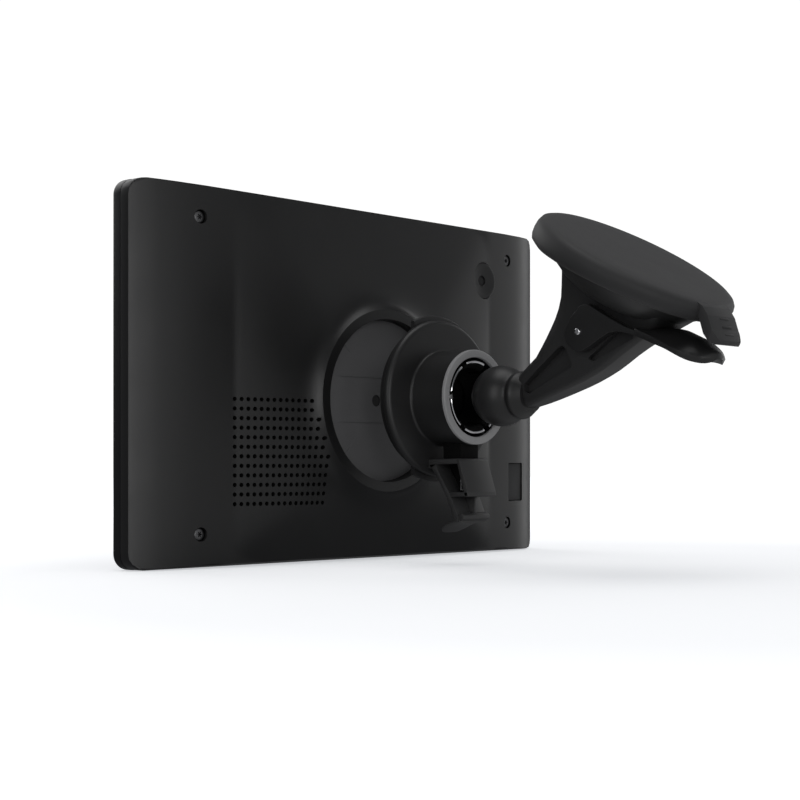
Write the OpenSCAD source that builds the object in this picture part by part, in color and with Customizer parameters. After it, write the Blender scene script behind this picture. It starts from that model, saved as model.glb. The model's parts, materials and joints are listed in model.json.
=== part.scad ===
// Portable navigator with a magnetic dock head and a suction-cup arm, laid out
// along the docking axis: the head stands off the navigator and the ball off the
// head. The origin is the centre of the suction face. The screen faces -Y.

/* [Navigator] */
// Width of the navigator
nav_w = 169; // [166:1:173]
// Height of the navigator
nav_h = 106; // [104:1:109]
// Corner radius of its outline
corner_r = 5.5; // [4.5:0.5:7]
// Depth of the front bezel
bezel_t = 4; // [3.8:0.1:4.2]
// Depth of the straight side, bezel included
side_t = 7.5; // [7.2:0.1:7.8]
// Depth at the foot of the bulge
panel_t = 15.1; // [14.9:0.1:15.4]
// Depth at the rim of the dock ring
ring_t = 22.4; // [22.2:0.1:22.8]
// Wall thickness of the rear cover
wall = 1.6; // [1.4:0.1:1.8]

/* [Dock] */
// Height of the docking axis above the navigator's lower edge
dock_z = 47.8; // [47.5:0.1:48.5]
// Outer radius of the dock ring
ring_r = 27.1; // [26.6:0.1:27.6]
// Radius of the dock recess
recess_r = 24.5; // [24.3:0.1:24.7]
// Depth of the dock recess
recess_d = 3; // [2.8:0.1:3.2]
// Gap between the recess floor and the docked head
dock_gap = 0.1; // [0.1:0.05:0.2]
// Distance the head stands off the docked place
dock_travel = 19.5; // [15:0.5:22]

/* [Dock head] */
// Thickness of the head's dock plate
plate_t = 3; // [2.8:0.1:3.2]
// Radius of the head's flange
flange_r = 22.6; // [22:0.1:23]
// Thickness of the flange
flange_t = 2.4; // [2.2:0.1:2.8]
// Outer radius of the socket boss
boss_r = 13.5; // [13.2:0.1:13.8]
// Bore radius of the socket boss
boss_bore_r = 11.3; // [11.2:0.1:11.5]
// Length of the head from the flange's back to the mouth of the socket
head_l = 15.2; // [15.2:0.1:15.6]

/* [Ball joint] */
// Radius of the ball
ball_r = 8.5; // [8.4:0.05:8.5]
// Running clearance between the ball and its seat
ball_fit = 0.1; // [0.05:0.05:0.1]
// Distance from the mouth of the socket down to its centre
seat_drop = 4.1; // [4:0.1:4.3]
// Distance the ball stands off its seat
ball_travel = 13.8; // [10:0.1:16]

/* [Suction cup and arm] */
// Radius of the suction face
cup_r = 28; // [27:0.5:29]
// Angle of the suction face's normal above the docking axis
cup_tilt = 58.5; // [55:0.5:62]
// Half thickness of the arm's web
web_x = 4.5; // [4.4:0.1:4.6]
// Radius of the lever's pivot pin
pin_r = 0.95; // [0.9:0.05:1]
// Throw of the lever's eccentric
cam_throw = 2.2; // [2:0.1:2.3]
// Width of the lever's handle
lever_w = 18; // [17:1:20]

/* [Hidden] */
$fn = 64;
e = 0.01;
// The ball's and the socket's centres, depth measured from the screen side
socket_y = ring_t - recess_d + dock_gap + dock_travel + plate_t + head_l - seat_drop;
ball_y = socket_y + ball_travel;
flange_y = socket_y + seat_drop - head_l;
plate_y = flange_y - plate_t;
mouth_y = socket_y + seat_drop;
// The ball's centre from the suction face, along the cup's own s and n axes
ball_s = -21.3;
ball_n = -53.8;
tilt = 90 - cup_tilt;
ball_pos_y = ball_s * cos(tilt) + ball_n * sin(tilt);
ball_pos_z = -ball_s * sin(tilt) + ball_n * cos(tilt);
// The navigator's lower front edge from the suction face
nav_y = ball_pos_y - ball_y;
nav_z = ball_pos_z - dock_z;
// The lever's pivot in the cup's axes
pin_s = -2;
pin_n = -23.6;
cam_r = 3.8;
cam_slack = 0.2;
// Place of the eccentric's centre, seen from the pin, with the lever locked
cam_angle = 215;
cam_s = cam_throw * cos(cam_angle);
cam_n = cam_throw * sin(cam_angle);
floor_t = 1.2;
screw_x = 64.8;
screw_z = 43.5;
bulge_r = 45;
// Depths of the levels of the curved back, above the straight side
levels = [3, 5.75, panel_t - side_t];
// How far each level is set in from the sides, and from the top and bottom
level_x = [6, 16, 30];
level_z = [1, 1.8, 2.4];
// Depth of the case screws' seats, and of the memory card
screw_y = panel_t - 3.4;
card_y = 9.6;
// Slot and yoke that the eccentric works in, between the arm's cheeks
cheek_x = 2.6;
yoke_x = 2.4;
yoke_s0 = pin_s - 7.4;
yoke_s1 = 3;
yoke_n0 = pin_n + cam_n - cam_r - 1.3;

// ---- helpers ----

// Places children drawn from the navigator's lower front edge
module at_nav() { translate([0, nav_y, nav_z]) children(); }

// Places children whose own Z runs along the docking axis, from depth y
module on_axis(y) { at_nav() translate([0, y, dock_z]) rotate([-90, 0, 0]) children(); }

// Places children in the cup's axes: Y along the face, Z out of it
module at_cup() { rotate([-tilt, 0, 0]) children(); }

// Rectangle with round corners, centred
module rounded(w, h, r) {
    square([w - 2 * r, h], center = true);
    square([w, h - 2 * r], center = true);
    for (sx = [-1, 1], sy = [-1, 1])
        translate([sx * (w / 2 - r), sy * (h / 2 - r)]) circle(r);
}

// Rounded plate standing upright from depth y0 to y1, inset from the outline
module slab(inset, y0, y1, r = 0) {
    w = nav_w - 2 * inset;
    h = nav_h - 2 * inset;
    translate([0, y1, nav_h / 2]) rotate([90, 0, 0])
        linear_extrude(y1 - y0) rounded(w, h, r > 0 ? r : max(corner_r - inset, 1));
}

// Block between two corners
module block(a, b) { translate(a) cube(b - a); }

// Places children at the four case screws
module at_screws() {
    for (sx = [-1, 1], sz = [-1, 1])
        translate([sx * screw_x, 0, nav_h / 2 + sz * screw_z]) rotate([-90, 0, 0]) children();
}

// Extrudes a side view drawn in the cup's axes, half width x0
module side_view(x0) {
    translate([-x0, 0, 0]) rotate([90, 0, 90]) linear_extrude(2 * x0) children();
}

// ---- navigator ----

glass_w = 163;
glass_h = 100;

module front_bezel() color("black") at_nav() difference() {
    slab(0, 0, bezel_t);
    slab((nav_w - glass_w) / 2 - 0.1, -e, 1.6, 3);
    slab(6, 1, bezel_t + e, 2);
}

module screen_glass() color("dimgray") at_nav() slab((nav_w - glass_w) / 2, 0.2, 1.3, 3);

module glass_tape() color("gray") at_nav() difference() {
    slab(3.8, 1.35, 1.55, 3);
    slab(6, 1, 2, 2);
}

module lcd_panel() color("slategray") at_nav() slab(7, 1.7, 4, 1);

module mid_frame() color("silver") at_nav() difference() {
    union() {
        slab(3.6, 4.3, 5.3, 3);
        translate([0, 5.2, 0]) at_screws() cylinder(h = 1, r = 2.6);
    }
    translate([0, 4, 0]) at_screws() cylinder(h = 3, r = 1.05);
    for (sx = [-1, 1]) translate([sx * 40, 0, 60]) block([-9, 4, -14], [9, 6, 14]);
}

// Outside of the rear cover, or its cavity when inset by the wall
module cover_form(inset, y0) {
    slab(inset, y0, side_t - inset * 0.4);
    hull() {
        slab(inset, side_t - 1 - inset * 0.4, side_t - inset * 0.4);
        for (i = [0:2]) translate([0, side_t + levels[i] - inset, nav_h / 2]) rotate([90, 0, 0])
            linear_extrude(0.1) rounded(nav_w - 2 * (level_x[i] + inset * 0.4),
                nav_h - 2 * (level_z[i] + inset), corner_r);
    }
    translate([0, panel_t - 1.5 - inset, dock_z]) rotate([-90, 0, 0])
        cylinder(h = ring_t - panel_t - 0.4, r1 = bulge_r - inset, r2 = ring_r + 0.6 - inset);
}

grille_pitch_z = 2.66;
lead_d = 0.9;
lead_edge = 0.4;
plate_r = 20.8;
grille_pitch_x = 2.05;
grille_top = 46.9;
grille_x = 54;
grille_rows = 12;
// Holes in a grille row: the rows grow as the dock ring curves away below them
function row_count(i) = i < 8 ? 13 + floor(i / 2) : 16;

module grille_holes() {
    for (i = [0:grille_rows - 1], j = [0:row_count(i) - 1])
        translate([grille_x - j * grille_pitch_x, panel_t - 3, grille_top - i * grille_pitch_z])
            rotate([-90, 0, 0]) cylinder(h = 12, r = 0.6, $fn = 16);
}

mic_x = -50.7;
mic_z = 88.5;
card_z = 23;

module rear_cover() color([0.12, 0.12, 0.13]) at_nav() difference() {
    union() {
        cover_form(0, bezel_t);
        translate([0, panel_t, dock_z]) rotate([-90, 0, 0])
            cylinder(h = ring_t - panel_t, r = ring_r);
    }
    difference() {
        cover_form(wall, bezel_t - 1);
        translate([0, 6.3, 0]) at_screws() cylinder(h = 8, r = 3.4);
        block([-76.6, 5.4, card_z - 7.8], [-64, 15, card_z + 7.8]);
        translate([0, ring_t - recess_d - floor_t, dock_z]) rotate([-90, 0, 0])
            cylinder(h = 6, r = ring_r);
    }
    translate([0, ring_t - recess_d, dock_z]) rotate([-90, 0, 0]) cylinder(h = 9, r = recess_r);
    // Lead-in for the head
    translate([0, ring_t - lead_d, dock_z]) rotate([-90, 0, 0])
        cylinder(h = lead_d + e, r1 = recess_r, r2 = ring_r - lead_edge);
    translate([0, 6, 0]) at_screws() cylinder(h = 8, r = 1.1);
    translate([0, screw_y, 0]) at_screws() cylinder(h = 6, r = 1.95);
    translate([mic_x, panel_t - 0.8, mic_z]) rotate([-90, 0, 0]) cylinder(h = 4, r = 5.95);
    translate([mic_x, panel_t - 4, mic_z]) rotate([-90, 0, 0]) cylinder(h = 4, r = 4.6);
    block([-75, card_y - 0.6, card_z - 6.35], [-65.5, 17, card_z + 6.35]);
    block([-66, card_y - 0.1, card_z - 5.7], [-63, card_y + 0.9, card_z + 5.7]);
    block([-10, 4.7, nav_h - 3], [1.2, 6.7, nav_h + 1]);
    translate([-9.5, ring_t - recess_d - floor_t - 1, dock_z]) block([-3, 0, -7], [3, 4, 7]);
    translate([2.4, ring_t - recess_d - floor_t - 1, dock_z]) rotate([-90, 0, 0])
        cylinder(h = 4, r = 1.75);
    grille_holes();
}

module keeper_plate() color("lightsteelblue") on_axis(ring_t - recess_d - floor_t - 0.85)
    difference() {
        cylinder(h = 0.8, r = 22);
        translate([0, 0, -e]) cylinder(h = 1, r = 14.5);
    }

module dock_contacts() color("gold") at_nav() {
    y = ring_t - recess_d - floor_t;
    for (i = [0:3], sx = [-1, 1])
        translate([-9.5 + sx * 1.5, y + 0.1, dock_z + (i - 1.5) * 3])
            rotate([-90, 0, 0]) cylinder(h = 0.4, r = 0.9);
    translate([-9.5, y - 0.5, dock_z]) block([-2.8, 0, -6.8], [2.8, 0.6, 6.8]);
}

module main_board() color("darkgreen") at_nav() difference() {
    block([-63, 5.8, 14], [13, 6.8, 93.5]);
    for (p = [[-58, 34], [8, 18], [-20, 91], [8, 90]])
        translate([p[0], 5, p[1]]) rotate([-90, 0, 0]) cylinder(h = 3, r = 1.1);
}

module shield_cans() color("silver") at_nav() {
    block([-46, 6.8, 54], [-30, 8.2, 76]);
    block([-24, 6.8, 20], [4, 8.2, 40]);
    block([-46, 6.8, 30], [-30, 8.2, 48]);
}

module battery() color("lightgray") at_nav() {
    block([-24, 8.6, dock_z - 18], [24, 14.1, dock_z + 18]);
}

module gps_antenna() color("beige") at_nav() block([-11, 6.85, 68], [7, 10.9, 84.5]);

module speaker() color([0.25, 0.25, 0.27]) at_nav() {
    block([25.5, 5.4, 18.5], [53.5, 10.6, 46.5]);
    translate([39.5, 10.5, 32.5]) rotate([-90, 0, 0]) cylinder(h = 1.2, r = 13);
}

module speaker_mesh() color("gray") at_nav() block([25.5, 11.9, 18.5], [53.5, 12.15, 46.5]);

module mic_cap() color([0.16, 0.16, 0.17]) at_nav() translate([mic_x, panel_t - 0.75, mic_z])
    rotate([-90, 0, 0]) difference() {
        cylinder(h = 0.7, r = 5.85);
        translate([0, 0, -1]) cylinder(h = 3, r = 1.65);
    }

module microphone() color("silver") at_nav() translate([mic_x, 6.85, mic_z])
    rotate([-90, 0, 0]) cylinder(h = 7.3, r = 3);

module card_socket() color("silver") at_nav() difference() {
    block([-63.9, 6.85, card_z - 6.6], [-47, card_y + 1.1, card_z + 6.6]);
    block([-70, card_y, card_z - 5.6], [-49.5, card_y + 0.85, card_z + 5.6]);
}

module memory_card() color([0.2, 0.2, 0.22]) at_nav()
    block([-65, card_y + 0.05, card_z - 5.5], [-50, card_y + 0.8, card_z + 5.5]);

module button_switch() color("silver") at_nav() {
    block([-7.4, 5.35, nav_h - 6.6], [-1.4, 7, nav_h - 4.2]);
    translate([-4.4, 6.1, nav_h - 4.3]) cylinder(h = 0.75, r = 0.7);
}

module case_screws() color("gray") at_nav() {
    translate([0, screw_y + 0.05, 0]) at_screws() difference() {
        cylinder(h = 1.2, r = 1.8);
        translate([0, 0, 0.5]) cylinder(h = 2, r = 0.85, $fn = 6);
    }
    translate([0, 4.5, 0]) at_screws() cylinder(h = screw_y - 4.3, r = 1);
}

module power_button() color([0.1, 0.1, 0.1]) at_nav() {
    block([-9.9, 4.8, nav_h - 2.2], [1.1, 6.6, nav_h + 0.5]);
    block([-10.8, 4.4, nav_h - 3], [2, 6.6, nav_h - 1.9]);
}

// ---- dock head ----

magnet_n = 6;
magnet_orbit = 18;

// Places children round the docking axis, from depth y
module orbit(y, n, r, start = 0) on_axis(y)
    for (i = [0:n - 1]) rotate([0, 0, start + i * 360 / n]) translate([r, 0, 0]) children();

module dock_plate() color([0.14, 0.14, 0.15]) difference() {
    union() {
        on_axis(plate_y) cylinder(h = plate_t, r = plate_r);
        intersection() {
            on_axis(plate_y) cylinder(h = plate_t, r = recess_r - 0.3);
            at_nav() translate([0, plate_y, dock_z]) block([-9.5, -1, -30], [9.5, 5, 30]);
        }
        at_nav() translate([2.4, plate_y - 0.9, dock_z]) rotate([-90, 0, 0])
            cylinder(h = 1.2, r = 1.5);
    }
    orbit(plate_y + 0.7, magnet_n, magnet_orbit, 30) cylinder(h = plate_t, r = 2.55);
    for (sx = [-1, 1]) orbit(plate_y - 1, 1, 0)
        translate([-9.5 + sx * 1.5, 0, 0])
            for (i = [0:3]) translate([0, (i - 1.5) * 3, 0]) cylinder(h = 6, r = 0.6);
    at_nav() translate([-9.5, plate_y + 1.6, dock_z]) block([-3, 0, -6.5], [3, 4, 6.5]);
    orbit(plate_y - 1, 3, 12.5, 0) cylinder(h = 6, r = 1.1);
    orbit(plate_y - 1, 3, 12.5, 0) cylinder(h = 2.2, r = 2);
}

module dock_magnets() color("silver")
    orbit(plate_y + 0.75, magnet_n, magnet_orbit, 30) cylinder(h = plate_t - 0.8, r = 2.5);

module pogo_pins() color("gold") on_axis(plate_y - 0.5)
    for (i = [0:3], sx = [-1, 1]) translate([-9.5 + sx * 1.5, (i - 1.5) * 3, 0])
        cylinder(h = 2.2, r = 0.5);

module pogo_board() color("darkgreen") at_nav()
    translate([-9.5, plate_y + 1.75, dock_z]) block([-2.9, 0, -6.4], [2.9, 1, 6.4]);

module head_screws() color("gray") {
    orbit(plate_y + 0.1, 3, 12.5, 0) difference() {
        cylinder(h = 1, r = 1.9);
        translate([0, 0, -1]) cylinder(h = 1.5, r = 0.8, $fn = 6);
    }
    orbit(plate_y + 1, 3, 12.5, 0) cylinder(h = 4, r = 1);
}

pad_n = 0.6;
cup_gap = 0.05;
// Spherical pads stacked under the ball, and the cavity that holds them
pad_r1 = ball_r + 0.04;
pad_r2 = ball_r + pad_n;
liner_r1 = pad_r2 + cup_gap;
liner_r2 = liner_r1 + 0.55;
cavity_r = liner_r2 + cup_gap;

module head_shell() color([0.13, 0.13, 0.14]) difference() {
    union() {
        on_axis(flange_y) cylinder(h = flange_t, r = flange_r);
        on_axis(flange_y + flange_t - e) cylinder(h = 3, r1 = boss_r + 3, r2 = boss_r);
        on_axis(flange_y + 1) cylinder(h = head_l - 2, r = boss_r);
    }
    on_axis(flange_y + 1.3) cylinder(h = head_l, r = boss_bore_r);
    orbit(flange_y - 1, 3, 12.5, 0) cylinder(h = 3.9, r = 1.05);
}

module rim_ring() color([0.42, 0.42, 0.43]) on_axis(mouth_y - 0.99) difference() {
    cylinder(h = 0.99, r = boss_r);
    translate([0, 0, -1]) cylinder(h = 3, r = boss_bore_r);
}

finger_n = 6;
collet_r = 10.3;

module socket_collet() color([0.08, 0.08, 0.08]) difference() {
    on_axis(flange_y + 1.35) cylinder(h = head_l - 1.75, r = collet_r);
    on_axis(socket_y) sphere(r = ball_r + ball_fit);
    on_axis(socket_y) cylinder(h = 10, r = ball_r + ball_fit);
    on_axis(mouth_y - 2) cylinder(h = 2, r1 = ball_r + ball_fit - 0.4, r2 = 9.7);
    intersection() {
        on_axis(socket_y) sphere(r = cavity_r);
        on_axis(flange_y) cylinder(h = socket_y - flange_y - 5.2, r = 9.6);
    }
    for (i = [0:finger_n - 1]) on_axis(socket_y - 3) rotate([0, 0, 60 * i + 30])
        translate([7, -0.6, 0]) cube([6, 1.2, 9]);
    on_axis(mouth_y - 2.1) difference() {
        cylinder(h = 1.1, r = 12);
        translate([0, 0, -1]) cylinder(h = 3, r = 9.95);
    }
}

module spring_ring() color("silver") on_axis(mouth_y - 2.05) difference() {
    cylinder(h = 1, r = 11);
    translate([0, 0, -1]) cylinder(h = 3, r = 10);
    rotate([0, 0, 200]) translate([0, -1.5, -1]) cube([14, 3, 3]);
}

// Spherical cap between two radii, opening towards the ball
module cap(r1, r2, angle) intersection() {
    on_axis(socket_y) difference() {
        sphere(r = r2);
        sphere(r = r1);
    }
    on_axis(socket_y) mirror([0, 0, 1]) cylinder(h = 12, r1 = e, r2 = 12 * tan(angle));
}

module bearing_cup() color("white") cap(liner_r1, liner_r2, 24);

module friction_pad() color("gray") cap(pad_r1, pad_r2, 22);

port_x = 6.1;

// Places children drawn for a socket with its mouth at depth 53 and its axis at height 47.6
module at_port() { at_nav() translate([0, mouth_y - 53, dock_z - 47.6]) children(); }

module port_bracket() color([0.15, 0.15, 0.16]) difference() {
    at_port() {
        block([-3.7, 43.5, 29.6], [3.7, 51.4, 34.6]);
        translate([port_x, 0, 0]) rotate([90, 0, -90]) mirror([1, 0, 0])
            linear_extrude(2 * port_x) polygon([
                [40.4, 30.2], [51.6, 30.4], [54.8, 19.5], [52.4, 19.5], [52.4, 18.4],
                [50.4, 18.4], [52.6, 14.7], [52.6, 12.7], [50.8, 12.3], [43.4, 9.6],
                [43.1, 10.4], [50, 13.4], [46.6, 20.4], [42.2, 28.6], [38.2, 27.6]
            ]);
    }
    at_port() translate([port_x - 9.4, 0, 0]) rotate([90, 0, 90])
        linear_extrude(12) polygon([[43.4, 28.7], [50.9, 28.7], [53.7, 20.9], [48.4, 20.9]]);
    // Clears the flange, its fillet and the socket boss above
    on_axis(flange_y - 2) cylinder(h = flange_t + 2.02, r = flange_r + 0.02);
    on_axis(flange_y + flange_t) cylinder(h = 3, r1 = boss_r + 3.04, r2 = boss_r + 0.02);
    on_axis(flange_y) cylinder(h = 30, r = boss_r + 0.02);
}

module power_jack() color("silver") at_port() difference() {
    block([-3, 48.3, 21.1], [1.6, 50.85, 28.4]);
    block([-2, 48.7, 21.5], [2, 50.45, 28]);
}

// ---- arm and suction cup ----

module ball() color([0.16, 0.16, 0.17]) translate([0, ball_pos_y, ball_pos_z])
    rotate([-90, 0, 0]) rotate_extrude() difference() {
        intersection() {
            circle(r = ball_r);
            translate([0, -10]) square([10, 20]);
        }
        // Bore for the arm's stub
        translate([-1, 2]) square([4.05, 10]);
    }

module arm_bracket() color([0.15, 0.15, 0.16]) difference() {
    union() {
        at_cup() side_view(web_x) polygon([
            [-19, -49.6], [-16.6, -42], [-15.2, -35], [-15, -28], [-15.8, -21], [-17.6, -14],
            [-18.5, -8.2], [8, -8.2], [12, -15.6], [8.4, -22.8], [4.8, -28.6], [1, -34.8],
            [-4, -41.4], [-9, -47.4], [-13.2, -51.8]
        ]);
        translate([0, ball_pos_y + 6.6, ball_pos_z]) rotate([-90, 0, 0]) {
            cylinder(h = 3, r1 = 4.6, r2 = 5.6);
            translate([0, 0, 2.9]) cylinder(h = 4, r1 = 5.6, r2 = 4.6);
        }
        translate([0, ball_pos_y + 2.05, ball_pos_z]) rotate([-90, 0, 0]) cylinder(h = 7, r = 3);
        at_cup() translate([0, 0, -10]) {
            cylinder(h = 5, r1 = 15, r2 = 24);
            translate([0, 0, 5 - e]) cylinder(h = 1.5, r1 = 24, r2 = 24.5);
        }
    }
    // Clears the ball round its neck
    translate([0, ball_pos_y, ball_pos_z]) difference() {
        sphere(r = ball_r + 0.02);
        rotate([-90, 0, 0]) cylinder(h = 20, r = 3);
    }
    at_cup() {
        translate([0, 0, -8.3]) cylinder(h = 6, r = 9);
        translate([0, 0, -5]) cylinder(h = 3, r1 = 17, r2 = 22);
        translate([0, 0, -20]) cylinder(h = 20, r = 3.1);
        // Slot for the stem's yoke and the lever's eccentric
        block([-cheek_x, yoke_s0 - 0.3, yoke_n0 - 0.3], [cheek_x, yoke_s1 + 0.3, -14.6]);
        translate([-10, pin_s, pin_n]) rotate([0, 90, 0]) cylinder(h = 20, r = pin_r + 0.03);
        // Weight-saving pockets in both sides
        for (s = [-1, 1]) translate([s * (web_x - 0.6 + 1), 0, 0]) side_view(1) polygon([
            [-12.8, -45.6], [-7.6, -31.6], [-4.4, -31.4], [-2.4, -33.4], [-11.4, -46.8]
        ]);
    }
}

module suction_cup() color([0.25, 0.25, 0.25]) at_cup() difference() {
    union() {
        rotate_extrude() polygon([
            [0, 0], [27, 0], [27.7, -0.3], [cup_r, -1], [27.7, -2.2],
            [26.4, -3.2], [24, -3.4], [19.4, -3.4], [16.8, -4.4], [8.8, -4.6], [8.8, -8.2], [0, -8.2]
        ]);
        // Pull tab
        side_view(6) polygon([
            [25.5, -0.6], [29, -0.9], [33.2, -3.9], [36.4, -5.9], [36, -7.2], [33.2, -7.2],
            [28.4, -3.4], [25.5, -2.6]
        ]);
    }
    translate([0, 0, -6.7]) cylinder(h = 5.1, r = 6.3);
    translate([0, 0, -9]) cylinder(h = 3, r = 3.4);
}

module cup_stem() color("dimgray") at_cup() difference() {
    union() {
        translate([0, 0, -6.4]) cylinder(h = 1.9, r = 6);
        translate([0, 0, -17.7]) cylinder(h = 12, r = 3);
        block([-yoke_x, yoke_s0, yoke_n0], [yoke_x, yoke_s1, -17.5]);
    }
    // Window that the eccentric turns in
    translate([0, pin_s + cam_s, pin_n + cam_n])
        block([-5, -cam_r - 0.6, -cam_r - cam_slack], [5, cam_r + 0.2, cam_r + cam_slack]);
    // Flats that fit the slot in the arm
    for (s = [-1, 1]) translate([s * (yoke_x + 2), 0, -17.6]) cube([4, 20, 4], center = true);
}

module pivot_pin() color("silver") at_cup() translate([-8.6, pin_s, pin_n]) rotate([0, 90, 0])
    cylinder(h = 17.2, r = pin_r);

cheek_in = web_x + 0.3;
cheek_out = 8.2;

// Eccentric keyed to the pin, between the arm's cheeks
module lever_cam() color("gray") at_cup() difference() {
    translate([-yoke_x, pin_s + cam_s, pin_n + cam_n]) rotate([0, 90, 0])
        cylinder(h = 2 * yoke_x, r = cam_r);
    translate([-10, pin_s, pin_n]) rotate([0, 90, 0]) cylinder(h = 20, r = pin_r + 0.02);
}

module lever() color([0.16, 0.16, 0.17]) at_cup() difference() {
    union() {
        for (s = [-1, 1]) translate([s * (cheek_in + cheek_out) / 2, 0, 0])
            side_view((cheek_out - cheek_in) / 2) {
                translate([pin_s, pin_n]) circle(r = 4.6);
                polygon([
                    [-6.4, -22.4], [-5.4, -13.6], [4, -12.6], [16, -12], [16, -14.8],
                    [8, -18], [2.2, -25.4], [0, -27.6]
                ]);
            }
        intersection() {
            side_view(lever_w / 2) polygon([
                [13.6, -14], [13.6, -12.1], [24, -10.8], [30, -10.6], [35, -9.6], [36.8, -10.6],
                [36, -12.6], [31, -13.8], [24, -13.6], [16, -14.8]
            ]);
            translate([0, 0, -20]) linear_extrude(20) hull() {
                translate([0, 15]) square([lever_w, 4], center = true);
                for (s = [-1, 1]) translate([s * (lever_w / 2 - 5), 31.6]) circle(r = 5, $fn = 32);
            }
        }
    }
    translate([-10, pin_s, pin_n]) rotate([0, 90, 0]) cylinder(h = 20, r = pin_r + 0.02);
}

// ---- assembly ----

front_bezel();
screen_glass();
glass_tape();
lcd_panel();
mid_frame();
rear_cover();
keeper_plate();
dock_contacts();
main_board();
shield_cans();
battery();
gps_antenna();
speaker();
speaker_mesh();
mic_cap();
microphone();
card_socket();
memory_card();
button_switch();
case_screws();
power_button();
dock_plate();
dock_magnets();
pogo_pins();
pogo_board();
head_screws();
head_shell();
rim_ring();
socket_collet();
spring_ring();
bearing_cup();
friction_pad();
port_bracket();
power_jack();
ball();
arm_bracket();
suction_cup();
cup_stem();
pivot_pin();
lever_cam();
lever();
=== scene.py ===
# Portable navigator with a magnetic dock head and a suction-cup arm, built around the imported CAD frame.
import bpy
import bmesh
import json
import math
import numpy as np
from mathutils import Matrix, Vector


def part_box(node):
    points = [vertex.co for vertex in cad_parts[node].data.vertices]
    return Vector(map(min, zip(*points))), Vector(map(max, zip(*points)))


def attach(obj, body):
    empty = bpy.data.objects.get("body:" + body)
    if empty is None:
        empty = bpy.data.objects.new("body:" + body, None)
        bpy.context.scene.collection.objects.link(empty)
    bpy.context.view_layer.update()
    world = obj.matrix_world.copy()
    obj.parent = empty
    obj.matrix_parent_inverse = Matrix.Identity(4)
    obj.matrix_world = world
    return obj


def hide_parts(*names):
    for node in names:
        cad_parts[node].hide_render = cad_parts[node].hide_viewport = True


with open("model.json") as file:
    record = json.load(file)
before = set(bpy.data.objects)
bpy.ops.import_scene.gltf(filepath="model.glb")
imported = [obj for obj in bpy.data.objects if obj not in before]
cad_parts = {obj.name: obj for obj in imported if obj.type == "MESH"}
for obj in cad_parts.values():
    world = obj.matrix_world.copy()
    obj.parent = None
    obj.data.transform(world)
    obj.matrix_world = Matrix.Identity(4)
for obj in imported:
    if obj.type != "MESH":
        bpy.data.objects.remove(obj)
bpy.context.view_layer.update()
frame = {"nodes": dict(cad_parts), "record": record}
NODES = frame["nodes"]
MM = 0.001
scene = bpy.context.scene

# ---- frames: every piece is drawn in millimetres in one of these ----
lo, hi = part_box("front_bezel")
NAV = Matrix.Translation((0, lo.y, lo.z)) @ Matrix.Scale(MM, 4)
nav_w, nav_h = (hi.x - lo.x) / MM, (hi.z - lo.z) / MM
blo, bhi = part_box("ball")
ball_c = (blo + bhi) / 2
mount_axis = Vector(next(m for m in frame["record"]["mounts"] if m["name"] == "suction_face")["axis"])
TILT = math.atan2(mount_axis.y, mount_axis.z)
CUP = Matrix.Rotation(-TILT, 4, "X") @ Matrix.Scale(MM, 4)
DZ = (ball_c.z - lo.z) / MM                      # docking axis above the navigator's lower edge
BALL_Y = (ball_c.y - lo.y) / MM
TURN = Matrix(((1, 0, 0, 0), (0, 0, 1, 0), (0, -1, 0, 0), (0, 0, 0, 1)))


def axis_at(y):
    """Frame whose Z runs out along the docking axis from depth y of the navigator."""
    return NAV @ Matrix.Translation((0, y, DZ)) @ TURN


def at_back(x, z):
    """Frame whose Z runs out of the navigator's back at (x, z)."""
    return NAV @ Matrix.Translation((x, 0, z)) @ TURN


def across_cup(x, s, n):
    """Frame at a point of the cup's frame, with Z along the lever's pivot."""
    return CUP @ Matrix.Translation((x, s, n)) @ Matrix.Rotation(math.pi / 2, 4, "Y")


# ---- mesh helpers ----
def new_obj(name, verts, faces, place):
    """Mesh object with merged points and outward normals, moved into the frame place."""
    mesh = bpy.data.meshes.new(name)
    mesh.from_pydata([tuple(v) for v in verts], [], [tuple(f) for f in faces])
    bm = bmesh.new()
    bm.from_mesh(mesh)
    bmesh.ops.remove_doubles(bm, verts=bm.verts, dist=1e-5)
    bmesh.ops.recalc_face_normals(bm, faces=bm.faces)
    bm.to_mesh(mesh)
    bm.free()
    mesh.transform(place)
    obj = bpy.data.objects.new(name, mesh)
    scene.collection.objects.link(obj)
    return obj


def bake(obj):
    """Applies the object's modifiers."""
    dg = bpy.context.evaluated_depsgraph_get()
    made = bpy.data.meshes.new_from_object(obj.evaluated_get(dg))
    obj.modifiers.clear()
    old, obj.data = obj.data, made
    made.name = obj.name
    bpy.data.meshes.remove(old)
    return obj


def boolean(obj, other, op="DIFFERENCE"):
    """Cuts other from obj, or joins or intersects them, and uses other up."""
    m = obj.modifiers.new("cut", "BOOLEAN")
    m.operation, m.object, m.solver = op, other, "MANIFOLD"
    bake(obj)
    bpy.data.objects.remove(other)
    return obj


def bevel(obj, width, segments=3, angle=30):
    m = obj.modifiers.new("round", "BEVEL")
    m.width, m.segments, m.limit_method = width * MM, segments, "ANGLE"
    m.angle_limit = math.radians(angle)
    m.use_clamp_overlap = True
    return bake(obj)


def shade(obj, angle=32):
    obj.data.polygons.foreach_set("use_smooth", [True] * len(obj.data.polygons))
    obj.data.set_sharp_from_angle(angle=math.radians(angle))
    return obj


def join(name, objs):
    """One object out of several."""
    bm = bmesh.new()
    for o in objs:
        bm.from_mesh(o.data)
    mesh = bpy.data.meshes.new(name)
    bm.to_mesh(mesh)
    bm.free()
    for o in objs:
        bpy.data.objects.remove(o)
    obj = bpy.data.objects.new(name, mesh)
    scene.collection.objects.link(obj)
    return obj


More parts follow.
